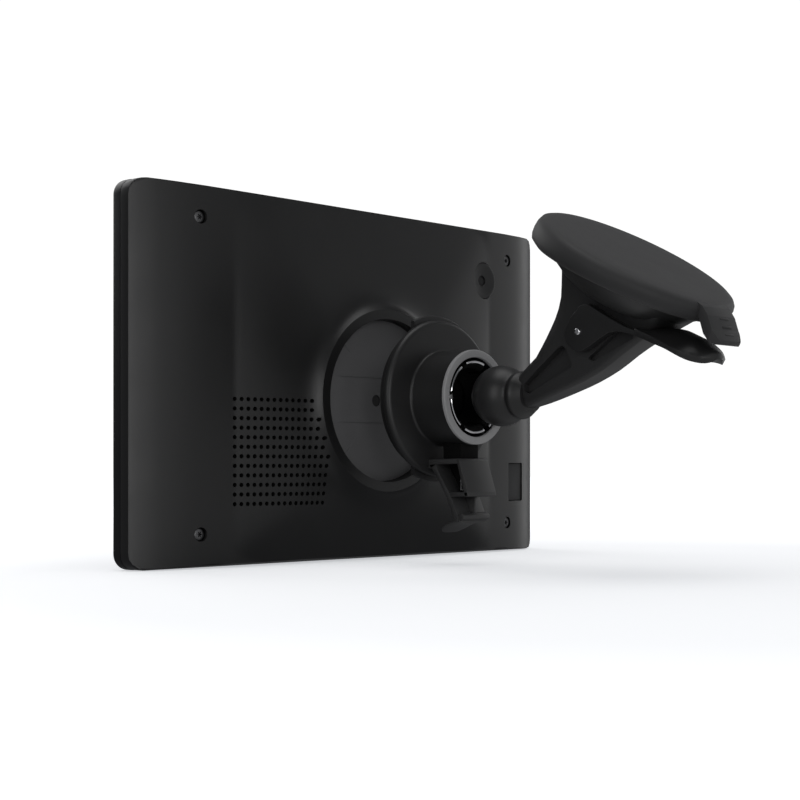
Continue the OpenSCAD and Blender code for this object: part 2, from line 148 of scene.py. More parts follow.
def arc(cx, cy, r, a0, a1, n=6):
    """Points on a circle from a0 to a1 degrees."""
    return [(cx + r * math.cos(math.radians(a0 + (a1 - a0) * i / n)),
             cy + r * math.sin(math.radians(a0 + (a1 - a0) * i / n))) for i in range(n + 1)]


def rounded(points, radii, n=4):
    """Polygon with its corners rounded; radii is one number or one for each corner."""
    out, k = [], len(points)
    for i, p in enumerate(points):
        r = radii[i] if isinstance(radii, (list, tuple)) else radii
        p, a, b = Vector(p), Vector(points[i - 1]), Vector(points[(i + 1) % k])
        u, v = (a - p), (b - p)
        lu, lv = u.length, v.length
        u, v = u / lu, v / lv
        half = math.acos(max(-1, min(1, u.dot(v)))) / 2
        t = min(r / max(math.tan(half), 1e-6), lu * 0.49, lv * 0.49)
        if r <= 0 or half > 1.55:
            out.append(tuple(p))
            continue
        s, e = p + u * t, p + v * t
        for j in range(n + 1):
            w = j / n
            out.append(tuple(s * (1 - w) ** 2 + p * 2 * w * (1 - w) + e * w ** 2))
    return out


def lathe(name, profile, place, n=96, closed=True, turn=(0, 360)):
    """Turns a profile of (radius, height) about Z. Points at radius 0 are poles."""
    full = abs(turn[1] - turn[0]) >= 360
    steps = n if full else n + 1
    verts, faces = [], []
    for k in range(steps):
        a = math.radians(turn[0] + (turn[1] - turn[0]) * k / n)
        for r, h in profile:
            verts.append((r * math.cos(a), r * math.sin(a), h))
    m = len(profile)
    for k in range(n):
        k2 = (k + 1) % steps
        for i in range(m if closed else m - 1):
            j = (i + 1) % m
            quad = [k * m + i, k * m + j, k2 * m + j, k2 * m + i]
            if profile[i][0] < 1e-6 and profile[j][0] < 1e-6:
                continue
            if profile[i][0] < 1e-6:
                quad = [quad[0], quad[1], quad[2]]
            elif profile[j][0] < 1e-6:
                quad = [quad[0], quad[1], quad[3]]
            faces.append(quad)
    if not full and closed:
        faces.append(list(range(m)))
        faces.append(list(range((steps - 1) * m, steps * m))[::-1])
    return new_obj(name, verts, faces, place)


def prism(name, outline, x0, x1, place, plane="yz"):
    """Outline drawn in one plane and pulled along the axis across it, from x0 to x1."""
    def at(x, p):
        return {"yz": (x, p[0], p[1]), "xz": (p[0], x, p[1]), "xy": (p[0], p[1], x)}[plane]
    k = len(outline)
    verts = [at(x0, p) for p in outline] + [at(x1, p) for p in outline]
    faces = [list(range(k)), list(range(k, 2 * k))[::-1]]
    faces += [[i, (i + 1) % k, k + (i + 1) % k, k + i] for i in range(k)]
    return new_obj(name, verts, faces, place)


def rect(x0, y0, x1, y1):
    return [(x0, y0), (x1, y0), (x1, y1), (x0, y1)]


def box(name, a, b, place):
    """Block between two opposite corners."""
    return prism(name, rect(a[1], a[2], b[1], b[2]), a[0], b[0], place)


def loft(name, rings, place, caps=True):
    """Skin over rings of equally many points."""
    k = len(rings[0])
    verts = [p for ring in rings for p in ring]
    faces = []
    for i in range(len(rings) - 1):
        for j in range(k):
            faces.append([i * k + j, i * k + (j + 1) % k, (i + 1) * k + (j + 1) % k, (i + 1) * k + j])
    if caps:
        faces.append(list(range(k)))
        faces.append(list(range((len(rings) - 1) * k, len(rings) * k))[::-1])
    return new_obj(name, verts, faces, place)


def spline(xs, ys, x):
    """Smooth curve through points (monotone cubic)."""
    xs, ys = np.asarray(xs, float), np.asarray(ys, float)
    d = np.diff(ys) / np.diff(xs)
    m = np.concatenate([[d[0]], np.where(d[:-1] * d[1:] > 0, 2 * d[:-1] * d[1:] / (d[:-1] + d[1:] + 1e-12),
                                         0), [d[-1]]])
    i = np.clip(np.searchsorted(xs, x) - 1, 0, len(xs) - 2)
    h = xs[i + 1] - xs[i]
    t = (np.asarray(x, float) - xs[i]) / h
    return ((2 * t ** 3 - 3 * t ** 2 + 1) * ys[i] + (t ** 3 - 2 * t ** 2 + t) * h * m[i]
            + (3 * t ** 2 - 2 * t ** 3) * ys[i + 1] + (t ** 3 - t ** 2) * h * m[i + 1])


# ---- materials: procedural, in object space, so they travel with the piece ----
MOTTLE_SCALE = 90
GRAIN_DEPTH, CELL_DEPTH, BRUSH_DEPTH = 0.00005, 0.0001, 0.00003


def material(name, color, rough=0.45, metal=0.0, grain=0.0, grain_scale=4000, mottle=0.12, rough_var=0.08,
             wave=None, coat=0.0, coat_rough=0.1, sheen=0.0, brushed=None, spec=0.5):
    """Mottle varies the colour and the gloss; grain, wave (cells) and brushed are fine relief."""
    mat = bpy.data.materials.new(name)
    mat.use_nodes = True
    nt = mat.node_tree
    b = nt.nodes["Principled BSDF"]
    L = nt.links.new

    def node(kind, **kw):
        n = nt.nodes.new(kind)
        for k, v in kw.items():
            setattr(n, k, v)
        return n
    b.inputs["Metallic"].default_value = metal
    b.inputs["IOR"].default_value = 1.5
    b.inputs["Specular IOR Level"].default_value = spec
    b.inputs["Coat Weight"].default_value = coat
    b.inputs["Coat Roughness"].default_value = coat_rough
    b.inputs["Sheen Weight"].default_value = sheen
    tc = node("ShaderNodeTexCoord")
    # slow colour variation, as moulded parts have
    n1 = node("ShaderNodeTexNoise")
    n1.inputs["Scale"].default_value = MOTTLE_SCALE
    n1.inputs["Detail"].default_value = 5
    L(tc.outputs["Object"], n1.inputs["Vector"])
    fine = node("ShaderNodeTexNoise")
    fine.inputs["Scale"].default_value = grain_scale
    fine.inputs["Detail"].default_value = 3
    L(tc.outputs["Object"], fine.inputs["Vector"])
    ramp = node("ShaderNodeMapRange")
    ramp.inputs["To Min"].default_value = 1 - mottle
    ramp.inputs["To Max"].default_value = 1 + mottle
    L(n1.outputs["Fac"], ramp.inputs["Value"])
    col = node("ShaderNodeMix", data_type="RGBA", blend_type="MULTIPLY")
    col.inputs["Factor"].default_value = 1
    col.inputs["A"].default_value = (*color, 1)
    L(ramp.outputs["Result"], col.inputs["B"])
    L(col.outputs["Result"], b.inputs["Base Color"])
    rr = node("ShaderNodeMapRange")
    rr.inputs["To Min"].default_value = max(0.02, rough - rough_var)
    rr.inputs["To Max"].default_value = min(1, rough + rough_var)
    L(n1.outputs["Fac"], rr.inputs["Value"])
    L(rr.outputs["Result"], b.inputs["Roughness"])
    normal = None
    if brushed:
        mp = node("ShaderNodeMapping")
        mp.inputs["Scale"].default_value = brushed
        L(tc.outputs["Object"], mp.inputs["Vector"])
        br = node("ShaderNodeTexNoise")
        br.inputs["Scale"].default_value = 1
        br.inputs["Detail"].default_value = 4
        L(mp.outputs["Vector"], br.inputs["Vector"])
        bb = node("ShaderNodeBump")
        bb.inputs["Strength"].default_value = 0.25
        bb.inputs["Distance"].default_value = BRUSH_DEPTH
        L(br.outputs["Fac"], bb.inputs["Height"])
        normal = bb.outputs["Normal"]
    if wave:
        # cell pattern, such as spark-eroded texture
        vo = node("ShaderNodeTexVoronoi")
        vo.inputs["Scale"].default_value = wave[0]
        L(tc.outputs["Object"], vo.inputs["Vector"])
        bv = node("ShaderNodeBump")
        bv.inputs["Strength"].default_value = wave[1]
        bv.inputs["Distance"].default_value = CELL_DEPTH
        L(vo.outputs["Distance"], bv.inputs["Height"])
        if normal:
            L(normal, bv.inputs["Normal"])
        normal = bv.outputs["Normal"]
    if grain:
        bg = node("ShaderNodeBump")
        bg.inputs["Strength"].default_value = grain
        bg.inputs["Distance"].default_value = GRAIN_DEPTH
        L(fine.outputs["Fac"], bg.inputs["Height"])
        if normal:
            L(normal, bg.inputs["Normal"])
        normal = bg.outputs["Normal"]
    if normal:
        L(normal, b.inputs["Normal"])
    return mat


case_black = material("case_black", (0.009, 0.009, 0.0093), 0.36, grain=0.10, grain_scale=5200, mottle=0.10,
                      rough_var=0.04)
bezel_black = material("bezel_black", (0.008, 0.008, 0.009), 0.34, grain=0.03, mottle=0.1, rough_var=0.03,
                       spec=0.22)
rubber_grey = material("rubber_grey", (0.14, 0.14, 0.143), 0.72, grain=0.22, grain_scale=3600, mottle=0.08)
head_black = material("head_black", (0.016, 0.016, 0.0164), 0.42, grain=0.14, grain_scale=4600, mottle=0.1,
                      rough_var=0.04)
rim_grey = material("rim_grey", (0.34, 0.34, 0.345), 0.6, wave=(3200, 0.5), grain=0.3, grain_scale=7000,
                    mottle=0.1)
# near-black, barely reflecting: the collet's own black, also used as painted shade on the port's channel wall
# and neck
collet_and_shade_black = material("collet_and_shade_black", (0.004, 0.004, 0.004), 0.8, grain=0.1, spec=0.12)
chrome = material("chrome", (0.78, 0.78, 0.8), 0.12, metal=1, mottle=0.03, rough_var=0.05,
                  brushed=(900, 900, 9000))
steel = material("steel", (0.55, 0.55, 0.56), 0.3, metal=1, mottle=0.06, rough_var=0.08,
                 brushed=(400, 6000, 400))
dark_steel = material("dark_steel", (0.20, 0.20, 0.205), 0.38, metal=1, mottle=0.1, rough_var=0.08, grain=0.1)
liner_tan = material("liner_tan", (0.32, 0.31, 0.28), 0.5, grain=0.1, mottle=0.1)
ball_black = material("ball_black", (0.016, 0.016, 0.0164), 0.40, grain=0.10, grain_scale=5200, mottle=0.12,
                      rough_var=0.05)
# painted light: the hood's black is about twice as pale as the head's, standing in for light falling on its
# upward-facing front plate
port_black_painted_light = material("port_black_painted_light", (0.034, 0.034, 0.0345), 0.44, grain=0.14, grain_scale=4600, mottle=0.1,
                      rough_var=0.04)
arm_black = material("arm_black", (0.026, 0.026, 0.0264), 0.40, grain=0.12, grain_scale=4800, mottle=0.1,
                     rough_var=0.04)
lever_black = material("lever_black", (0.015, 0.015, 0.0154), 0.38, grain=0.10, grain_scale=5000, mottle=0.1,
                       rough_var=0.04)
cup_rubber = material("cup_rubber", (0.026, 0.026, 0.027), 0.62, grain=0.18, grain_scale=3000, mottle=0.08,
                      sheen=0.08)
glass_black = material("glass_black", (0.004, 0.004, 0.005), 0.05, mottle=0.05, rough_var=0.02, coat=1,
                       coat_rough=0.03)
display = material("display", (0.03, 0.032, 0.038), 0.3, mottle=0.05, wave=(9000, 0.1))
gasket = material("gasket", (0.02, 0.02, 0.02), 0.8, grain=0.3, grain_scale=3000)
magnesium = material("magnesium", (0.5, 0.5, 0.52), 0.42, metal=1, wave=(1500, 0.15), mottle=0.08)
board_green = material("board_green", (0.012, 0.075, 0.035), 0.38, mottle=0.25, wave=(420, 0.35), coat=0.4)
gold = material("gold", (0.83, 0.6, 0.25), 0.22, metal=1, mottle=0.06)
cell_foil = material("cell_foil", (0.35, 0.36, 0.38), 0.35, metal=0.6, mottle=0.15, grain=0.2,
                     grain_scale=1500)
ceramic = material("ceramic", (0.55, 0.47, 0.33), 0.6, grain=0.2, grain_scale=2500, mottle=0.12)
mesh_grey = material("mesh_grey", (0.015, 0.015, 0.016), 0.7, wave=(2600, 0.9), mottle=0.15)
card_black = material("card_black", (0.012, 0.012, 0.013), 0.35, grain=0.08, mottle=0.15)
slot_grey = material("slot_grey", (0.045, 0.045, 0.046), 0.5, grain=0.15, mottle=0.1)

for node_name, mat in {
    "front_bezel": bezel_black, "screen_glass": glass_black, "glass_tape": gasket, "lcd_panel": display,
    "mid_frame": magnesium, "rear_cover": case_black, "keeper_plate": steel, "dock_contacts": gold,
    "main_board": board_green, "shield_cans": steel, "battery": cell_foil, "gps_antenna": ceramic,
    "speaker": gasket, "speaker_mesh": mesh_grey, "mic_cap": case_black, "microphone": steel,
    "card_socket": steel, "memory_card": card_black, "button_switch": steel, "case_screws": dark_steel,
    "power_button": case_black, "dock_plate": head_black, "dock_magnets": steel, "pogo_pins": gold,
    "pogo_board": board_green, "head_screws": steel, "head_shell": head_black, "rim_ring": rim_grey,
    "socket_collet": collet_and_shade_black, "spring_ring": chrome, "bearing_cup": liner_tan, "friction_pad": steel,
    "port_bracket": port_black_painted_light, "power_jack": steel, "ball": ball_black, "arm_bracket": arm_black,
    "suction_cup": cup_rubber, "cup_stem": gasket, "pivot_pin": steel, "lever_cam": gasket,
    "lever": lever_black,
}.items():
    NODES[node_name].data.materials.clear()
    NODES[node_name].data.materials.append(mat)


def finish_piece(obj, mat, body, node=None, angle=32):
    """Material, shading, and what the piece rides on and replaces."""
    obj.data.materials.clear()
    obj.data.materials.append(mat)
    shade(obj, angle)
    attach(obj, body)
    if node:
        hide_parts(*([node] if isinstance(node, str) else node))
    return obj


# ---- navigator: rear cover ----
HALF_W, HALF_H = nav_w / 2, nav_h / 2
CORNER = 4.4
CREASE_X = 54.0
RING_R, RING_TOP, RECESS_R = 27.1, 22.4, 24.35
FLOOR_Y = 19.4                                   # soft face of the dock recess
FOOT_H, BASE_H = 19.7, 15.25                     # the swelling at the ring and where it dies out
SIDE_Y, WALL = 7.5, 1.6                          # depth of the straight side; the cover's wall
SWELL_R = 27.4


def edge_distance(x, z):
    """Distance inside the navigator's outline."""
    qx = np.abs(x) - (HALF_W - CORNER)
    qz = np.abs(z - HALF_H) - (HALF_H - CORNER)
    return CORNER - np.hypot(np.maximum(qx, 0), np.maximum(qz, 0)) - np.minimum(np.maximum(qx, qz), 0)


def back_height(x, z):
    """Depth of the cover's outside: curved sides, a crease, a swelling up to the dock ring, and drafted
    ends."""
    ax = np.abs(x)
    d = np.maximum(HALF_W - ax, 0)
    side = SIDE_Y + 5.6 * (1 - np.exp(-d / 10)) + 0.08 * np.minimum(d, 31)
    dz = z - DZ
    r = np.hypot(x, dz) + 1e-9
    lz = np.where(dz > 0, nav_h - 1.2 - DZ, DZ - 1.2)
    k = 14
    rout = ((np.abs(x) / r / CREASE_X) ** k + (np.abs(dz) / r / lz) ** k) ** (-1 / k)
    t = np.clip((r - SWELL_R) / np.maximum(rout - SWELL_R, 1), 0, 1)
    swell = (FOOT_H - BASE_H) * (1 - t ** (0.75 + 0.8 * (x / r) ** 2))
    # the case sweeps up to meet the ring's edge
    swell = swell + 2.55 * np.exp(-np.maximum(r - RING_R, 0) / 2.2)
    crease = 1 / (1 + np.exp(-(CREASE_X - ax) / 0.35))
    h = side + swell * np.where(ax < CREASE_X + 3, crease, 0)
    de = np.maximum(edge_distance(x, z), 0)
    end = SIDE_Y + 8.4 * (1 - np.exp(-de / 0.85)) + 1.6 * de
    s = 0.7
    m = np.clip(0.5 + 0.5 * (end - h) / s, 0, 1)
    return end * (1 - m) + h * m - s * m * (1 - m) * np.where(de < 12, 1, 0) * 0.8


def cover_solid(name, inset, drop, base, spokes=360):
    """Solid under the back's surface: inset from the outline, lowered by drop, down to depth base."""
    a = np.linspace(0, 2 * np.pi, spokes, endpoint=False)
    ca, sa = np.cos(a), np.sin(a)
    low, high = np.zeros(spokes), np.full(spokes, 130.0)
    for _ in range(40):
        mid = (low + high) / 2
        inside = edge_distance(mid * ca, DZ + mid * sa) > inset
        low, high = np.where(inside, mid, low), np.where(inside, high, mid)
    back = np.array([0, .06, .14, .25, .4, .6, .85, 1.15, 1.5, 1.9, 2.4, 3, 3.7, 4.5, 5.5])
    radii = [low - b for b in back]
    rin = 27.2
    n = 54
    radii += [rin + (low - 5.5 - rin) * (1 - i / n) for i in range(1, n + 1)]
    radii += [np.full(spokes, r) for r in (26, 18, 8)]
    verts, faces = [], []
    for r in radii:
        x, z = r * ca, DZ + r * sa
        y = back_height(x, z) - drop
        verts += list(zip(x, np.maximum(y, base + 0.5), z))
    for i in range(len(radii) - 1):
        for j in range(spokes):
            j2 = (j + 1) % spokes
            faces.append([i * spokes + j, i * spokes + j2, (i + 1) * spokes + j2, (i + 1) * spokes + j])
    last = (len(radii) - 1) * spokes
    c = len(verts)
    verts.append((0, verts[last][1], DZ))
    faces += [[last + j, last + (j + 1) % spokes, c] for j in range(spokes)]
    foot = len(verts)
    verts += [(x, base, z) for x, _, z in verts[:spokes]]
    faces += [[j, (j + 1) % spokes, foot + (j + 1) % spokes, foot + j] for j in range(spokes)]
    faces.append([foot + j for j in range(spokes)])
    return new_obj(name, verts, faces, NAV)


SCREWS = [(sx * 64.8, HALF_H + sz * 43.5) for sx in (-1, 1) for sz in (-1, 1)]
MIC = (-50.7, 88.5)
CARD_Z, CARD_HALF = 23.0, 6.35                   # finger recess of the memory card
CARD_X0, CARD_X1 = -75, -65.5
CONTACT_X = -9.5                                 # the two rows of contacts stand about this line
GRILLE_X, GRILLE_Z = 54, 46.9
GRILLE_PITCH_X, GRILLE_PITCH_Z, HOLE_R = 2.02, 2.66, 0.62


def pin_at(name, x, z, r, y0, y1, n=24):
    """Round pin square to the back, from depth y0 to y1."""
    return lathe(name, [(0, y0), (r, y0), (r, y1), (0, y1)], at_back(x, z), n, closed=False)


cover = cover_solid("cover_shell", 0, 0, 4.08)
ring = lathe("ring", [(20, 15), (RING_R, 15), (RING_R, RING_TOP - 0.3)] + arc(RING_R - 0.3, RING_TOP - 0.3,
                                                                              0.3, 0, 80, 4)
             + [(26.3, RING_TOP - 0.13), (RECESS_R + 0.25, 21.55), (RECESS_R + 0.06, 21.42), (RECESS_R, 21.2),
                (RECESS_R, 17.5), (20, 17.5)], axis_at(0), 192)
boolean(cover, lathe("bore", [(0, FLOOR_Y - 0.25), (RECESS_R, FLOOR_Y - 0.25), (RECESS_R, 40), (0, 40)],
                     axis_at(0), 192, closed=False))
boolean(cover, ring, "UNION")
cavity = cover_solid("cavity", WALL, WALL, 3.0, 180)
boolean(cavity, lathe("dockfloor", [(0, 18.0), (28.7, 18.0), (28.7, 40), (0, 40)], axis_at(0), 96,
                      closed=False))
boolean(cavity, box("cardwall", (-76.6, 5.4, CARD_Z - 7.8), (-64, 30, CARD_Z + 7.8), NAV))
for x, z in SCREWS:
    boolean(cavity, pin_at("boss", x, z, 3.4, 6.3, 30))
boolean(cover, cavity)
for x, z in SCREWS:
    boolean(cover, pin_at("seat", x, z, 1.95, 11.7, 30, 32))
    boolean(cover, pin_at("hole", x, z, 1.1, 3, 13, 16))
boolean(cover, pin_at("mic_seat", *MIC, 5.98, 14.3, 30, 64))
boolean(cover, pin_at("mic_hole", *MIC, 4.6, 8, 20, 32))
recess = prism("recess", rounded(rect(CARD_X0, CARD_Z - CARD_HALF, CARD_X1, CARD_Z + CARD_HALF), 0.5, 3),
               9.0, 30, NAV, "xz")
boolean(cover, recess)
boolean(cover, box("slot", (-66, 9.5, CARD_Z - 5.7), (-63, 10.5, CARD_Z + 5.7), NAV))
boolean(cover, box("button_slot", (-10, 4.7, nav_h - 3), (1.2, 6.7, nav_h + 1), NAV))
boolean(cover, box("contacts", (CONTACT_X - 3, 17, DZ - 7), (CONTACT_X + 3, 21, DZ + 7), NAV))
# speaker grille: its rows lengthen downward
holes = []
for i in range(12):
    count = 13 + i // 2 if i < 8 else 16
    for j in range(count):
        x, z = GRILLE_X - j * GRILLE_PITCH_X, GRILLE_Z - i * GRILLE_PITCH_Z
        holes.append(pin_at("h", x, z, HOLE_R, 11.1, 26, 14))
boolean(cover, join("grille", holes))
finish_piece(cover, case_black, "navigator", "rear_cover", 28)

# soft face of the dock recess, with its window, pilot hole, scribed lines and ticks
dock_face = lathe("dock_face", [(0, FLOOR_Y - 0.24), (24.1, FLOOR_Y - 0.24), (24.1, FLOOR_Y - 0.05),
                                (24.0, FLOOR_Y), (0, FLOOR_Y)], axis_at(0), 128, closed=False)
boolean(dock_face, box("w", (CONTACT_X - 3, 15, DZ - 7), (CONTACT_X + 3, 25, DZ + 7), NAV))
boolean(dock_face, pin_at("p", 2.4, DZ, 1.75, 15, 25, 32))
for s in (-1, 1):
    boolean(dock_face, box("line", (-5.5, FLOOR_Y - 0.12, DZ + s * 6.7 - 0.13),
                           (18, 25, DZ + s * 6.7 + 0.13), NAV))
    slant = Matrix.Rotation(math.radians(90 - s * 46), 4, "Y")
    boolean(dock_face, box("tick", (-0.12, FLOOR_Y - 0.12, 19.5), (0.12, 25, 23.3),
                           NAV @ Matrix.Translation((0, 0, DZ)) @ slant))
finish_piece(dock_face, rubber_grey, "navigator", None)
# lining of the card's finger recess
lining = prism("lining", rounded(rect(CARD_X0 + 0.1, CARD_Z - CARD_HALF + 0.1, CARD_X1 - 0.1,
                                      CARD_Z + CARD_HALF - 0.1), 0.5, 3),
               9.02, 11.3, NAV, "xz")
bevel(lining, 0.15, 2, 60)
finish_piece(lining, slot_grey, "navigator", None)

# round microphone cap: dished, in a dark seam
cap_prof = [(1.65, 14.4), (5.83, 14.4), (5.83, 15.35)] + arc(5.6, 15.35, 0.23, 0, 90, 4)[1:] + [
    (4.9, 15.5), (4.0, 15.3), (3.0, 15.12), (2.15, 15.05), (1.75, 14.98), (1.65, 14.85)]
mic_cap = lathe("mic_disc", cap_prof, at_back(*MIC), 64)
finish_piece(mic_cap, head_black, "navigator", "mic_cap")
mic_core = lathe("mic_core", [(0, 13.5), (1.6, 13.5), (1.6, 14.5), (1.2, 14.62), (0, 14.66)],
                 at_back(*MIC), 32, closed=False)
finish_piece(mic_core, mesh_grey, "navigator", None)


def outline(inset, radius, y, n):
    """The navigator's outline at depth y, moved in by inset."""
    pts = []
    for cx, cz, a0 in ((1, 1, 0), (-1, 1, 90), (-1, -1, 180), (1, -1, 270)):
        for k in range(n + 1):
            a = math.radians(a0 + 90 * k / n)
            pts.append((cx * (HALF_W - inset - radius) + radius * math.cos(a), y,
                        HALF_H + cz * (HALF_H - inset - radius) + radius * math.sin(a)))
    return pts


def frame_sweep(name, profile, n=10):
    """Sweeps a closed profile of (inset, depth) round the navigator's outline."""
    rings = [outline(inset, max(CORNER - inset, 0.8), y, n) for inset, y in profile]
    return loft(name, rings + rings[:1], NAV, caps=False)


bezel = frame_sweep("bezel_frame", [(0.0, 3.92), (0.0, 1.3), (0.06, 0.9), (0.25, 0.5), (0.55, 0.2),
                                    (0.95, 0.03), (1.3, 0.0),
                                    (2.7, 0.0), (2.86, 0.1), (2.9, 0.25), (2.9, 1.6), (6.0, 1.6),
                                    (6.0, 3.92), (0.35, 4.0)])
finish_piece(bezel, bezel_black, "navigator", "front_bezel", 40)


def panel(name, inset, y0, y1, edge, corner):
    """Flat pane with a rounded front edge."""
    steps = [(edge, y0), (edge * 0.3, y0 + edge * 0.3), (0, y0 + edge), (0, y1)]
    return loft(name, [outline(inset + i, corner - i, y, 8) for i, y in steps], NAV)


glass = panel("front_glass", 3.0, 0.2, 1.3, 0.3, 3)
finish_piece(glass, glass_black, "navigator", "screen_glass", 40)

# power button on the top edge
button = prism("button_key", rounded(rect(-9.9, 4.85, 1.1, 6.55), 0.6, 4), nav_h - 2.2, nav_h + 0.5, NAV,
               "xy")
bevel(button, 0.2, 3, 60)
button = join("power_key", [button, box("flange", (-10.8, 4.4, nav_h - 3), (2, 6.6, nav_h - 1.95), NAV)])
finish_piece(button, case_black, "power_button", "power_button")

# case screws: domed heads with a six-lobed socket
SOCKET = [(a, 0.9 * (0.72 + 0.28 * math.cos(6 * a))) for a in [2 * math.pi * k / 48 for k in range(48)]]
screw_parts = []
for x, z in SCREWS:
    place = at_back(x, z)
    head_side = [(0, 11.75), (1.8, 11.75), (1.8, 12.75)] + arc(1.35, 12.75, 0.45, 0, 80, 4)[1:]
    head = lathe("screw", head_side + [(0.9, 13.22), (0, 13.25)], place, 40, closed=False)
    star = prism("star", [(r * math.cos(a), r * math.sin(a)) for a, r in SOCKET], 12.4, 14, place, "xy")
    boolean(head, star)
    screw_parts += [head, pin_at("shank", x, z, 1.0, 4.5, 11.8, 16)]
screws = join("back_screws", screw_parts)
finish_piece(screws, dark_steel, "navigator", "case_screws")

# ---- dock head ----
# depths of the plate's face, the flange's face, the socket's mouth and its centre
PLATE_Y, FLANGE_Y, MOUTH_Y, SOCKET_Y = 39.0, 42.0, 57.2, 53.1
MAGNET_ORBIT, SCREW_ORBIT = 18, 12.5
# disc with an upper and a lower lobe, and pockets for the magnets, the screws and the contact pins
plate_side = [(0, PLATE_Y), (20.4, PLATE_Y)] + arc(20.4, PLATE_Y + 0.35, 0.35, -90, 0, 4)[1:]
plate_side += [(20.75, FLANGE_Y - 0.02), (0, FLANGE_Y - 0.02)]
plate = lathe("plate_disc", plate_side, axis_at(0), 128, closed=False)
lobe_side = [(10, FLANGE_Y - 1.5), (23.5, FLANGE_Y - 1.5)] + arc(23.5, FLANGE_Y - 0.9, 0.6, -90, 0, 4)[1:]
lobe_side += arc(23.5, FLANGE_Y - 0.65, 0.6, 0, 90, 4) + [(10, FLANGE_Y - 0.05)]
lobe = lathe("lobe", lobe_side, axis_at(0), 128)
clip = prism("clip", rounded(rect(-9.5, -40, 9.5, 40), 1.0), 36, 44, axis_at(0), "xy")
boolean(lobe, clip, "INTERSECT")
boolean(plate, lobe, "UNION")
for k in range(6):
    a = math.radians(30 + 60 * k)
    boolean(plate, pin_at("m", MAGNET_ORBIT * math.cos(a), DZ - MAGNET_ORBIT * math.sin(a), 2.55,
                          PLATE_Y + 0.7, PLATE_Y + 2.95, 32))
for k in range(3):
    a = math.radians(120 * k)
    x, z = SCREW_ORBIT * math.cos(a), DZ - SCREW_ORBIT * math.sin(a)
    boolean(plate, pin_at("s", x, z, 2.0, PLATE_Y - 1, PLATE_Y + 1.2, 32))
    boolean(plate, pin_at("s", x, z, 1.1, PLATE_Y - 1, 50, 24))
for sx in (-1, 1):
    for i in range(4):
        boolean(plate, pin_at("p", CONTACT_X + sx * 1.5, DZ + (i - 1.5) * 3, 0.6, PLATE_Y - 1, 50, 16))
boolean(plate, box("pb", (CONTACT_X - 3, PLATE_Y + 1.6, DZ - 6.5), (CONTACT_X + 3, PLATE_Y + 2.9, DZ + 6.5),
                   NAV))
nib = lathe("nib", [(0, PLATE_Y + 0.2), (1.5, PLATE_Y + 0.2), (1.5, PLATE_Y - 0.6), (1.2, PLATE_Y - 0.9),
                    (0, PLATE_Y - 0.9)],
            axis_at(0) @ Matrix.Translation((2.4, 0, 0)), 32, closed=False)
boolean(plate, nib, "UNION")
finish_piece(plate, head_black, "head", "dock_plate")

# flange and boss, and the light band round the mouth
BOSS_R, BORE_R = 13.5, 11.3
shell = lathe("head_body", [(BORE_R, FLANGE_Y + 1.3), (0.01, FLANGE_Y + 1.3), (0.01, FLANGE_Y),
                            (22.0, FLANGE_Y)]
              + arc(22.1, FLANGE_Y + 0.5, 0.5, -90, 0, 4) + arc(21.3, FLANGE_Y + 1.08, 1.3, 0, 90, 8)
              + [(14.4, FLANGE_Y + 2.34)] + arc(14.25, FLANGE_Y + 3.09, 0.75, 270, 184, 6)
              + [(BOSS_R, MOUTH_Y - 1.02), (BORE_R, MOUTH_Y - 1.02)], axis_at(0), 160)
finish_piece(shell, head_black, "head", "head_shell")
rim_side = [(BOSS_R, MOUTH_Y - 0.98), (BOSS_R, MOUTH_Y - 0.4)]
rim_side += arc(BOSS_R - 0.4, MOUTH_Y - 0.4, 0.4, 0, 90, 5)[1:] + [(BORE_R + 0.3, MOUTH_Y)]
rim_side += arc(BORE_R + 0.3, MOUTH_Y - 0.3, 0.3, 90, 180, 4)[1:] + [(BORE_R, MOUTH_Y - 0.98)]
rim = lathe("rim_band", rim_side, axis_at(0), 160)
finish_piece(rim, rim_grey, "head", "rim_ring")

# socket: six spring fingers inside a dark gap, and the snap ring that holds them
FIT_R = 8.6


def seat(angles):
    """Points on the ball's seat."""
    return [(FIT_R * math.cos(math.radians(t)), SOCKET_Y + FIT_R * math.sin(math.radians(t))) for t in angles]


fingers = []
for k in range(6):
    a0 = 60 * k + 3.4
    prof = [(10.25, SOCKET_Y - 3.0), (10.25, MOUTH_Y - 1.5), (10.05, MOUTH_Y - 1.25), (9.6, MOUTH_Y - 1.0),
            (9.2, MOUTH_Y - 1.15),
            (FIT_R + 0.02, MOUTH_Y - 2.0)]
    prof += seat((12, 4, -4, -12, -20))
    fingers.append(lathe("f", prof, axis_at(0), 12, turn=(a0, a0 + 53.2)))
base = lathe("b", [(0.01, FLANGE_Y + 1.35), (10.25, FLANGE_Y + 1.35), (10.25, SOCKET_Y - 3.0)]
             + seat((-20.4, -28, -36, -43))
             + [(6.7, SOCKET_Y - 6.9), (4.0, SOCKET_Y - 8.9), (0.01, SOCKET_Y - 9.6)], axis_at(0), 72)
collet = join("collet_fingers", fingers + [base])
finish_piece(collet, collet_and_shade_black, "head", "socket_collet")
snap = []
for a0, a1 in ((5, 51), (64, 112), (125, 171), (184, 236), (249, 292), (305, 352)):
    snap.append(lathe("s", [(9.75, MOUTH_Y - 1.02), (10.25, MOUTH_Y - 1.02), (10.38, MOUTH_Y - 0.85),
                            (10.38, MOUTH_Y - 0.42),
                            (10.22, MOUTH_Y - 0.28), (9.9, MOUTH_Y - 0.28), (9.75, MOUTH_Y - 0.42)],
                            axis_at(0), 14, turn=(a0, a1)))
snap_ring = join("snap_ring", snap)
finish_piece(snap_ring, chrome, "ring", "spring_ring")

# ---- power port under the head ----
PORT = NAV @ Matrix.Translation((0, MOUTH_Y - 53, DZ - 47.6))


def plate_yz(name, side, x0, x1, radius=0.3, soft=0.22):
    """Moulded wall with its side view in the plane across X."""
    return bevel(prism(name, rounded(side, radius, 3), x0, x1, PORT), soft, 2, 45)


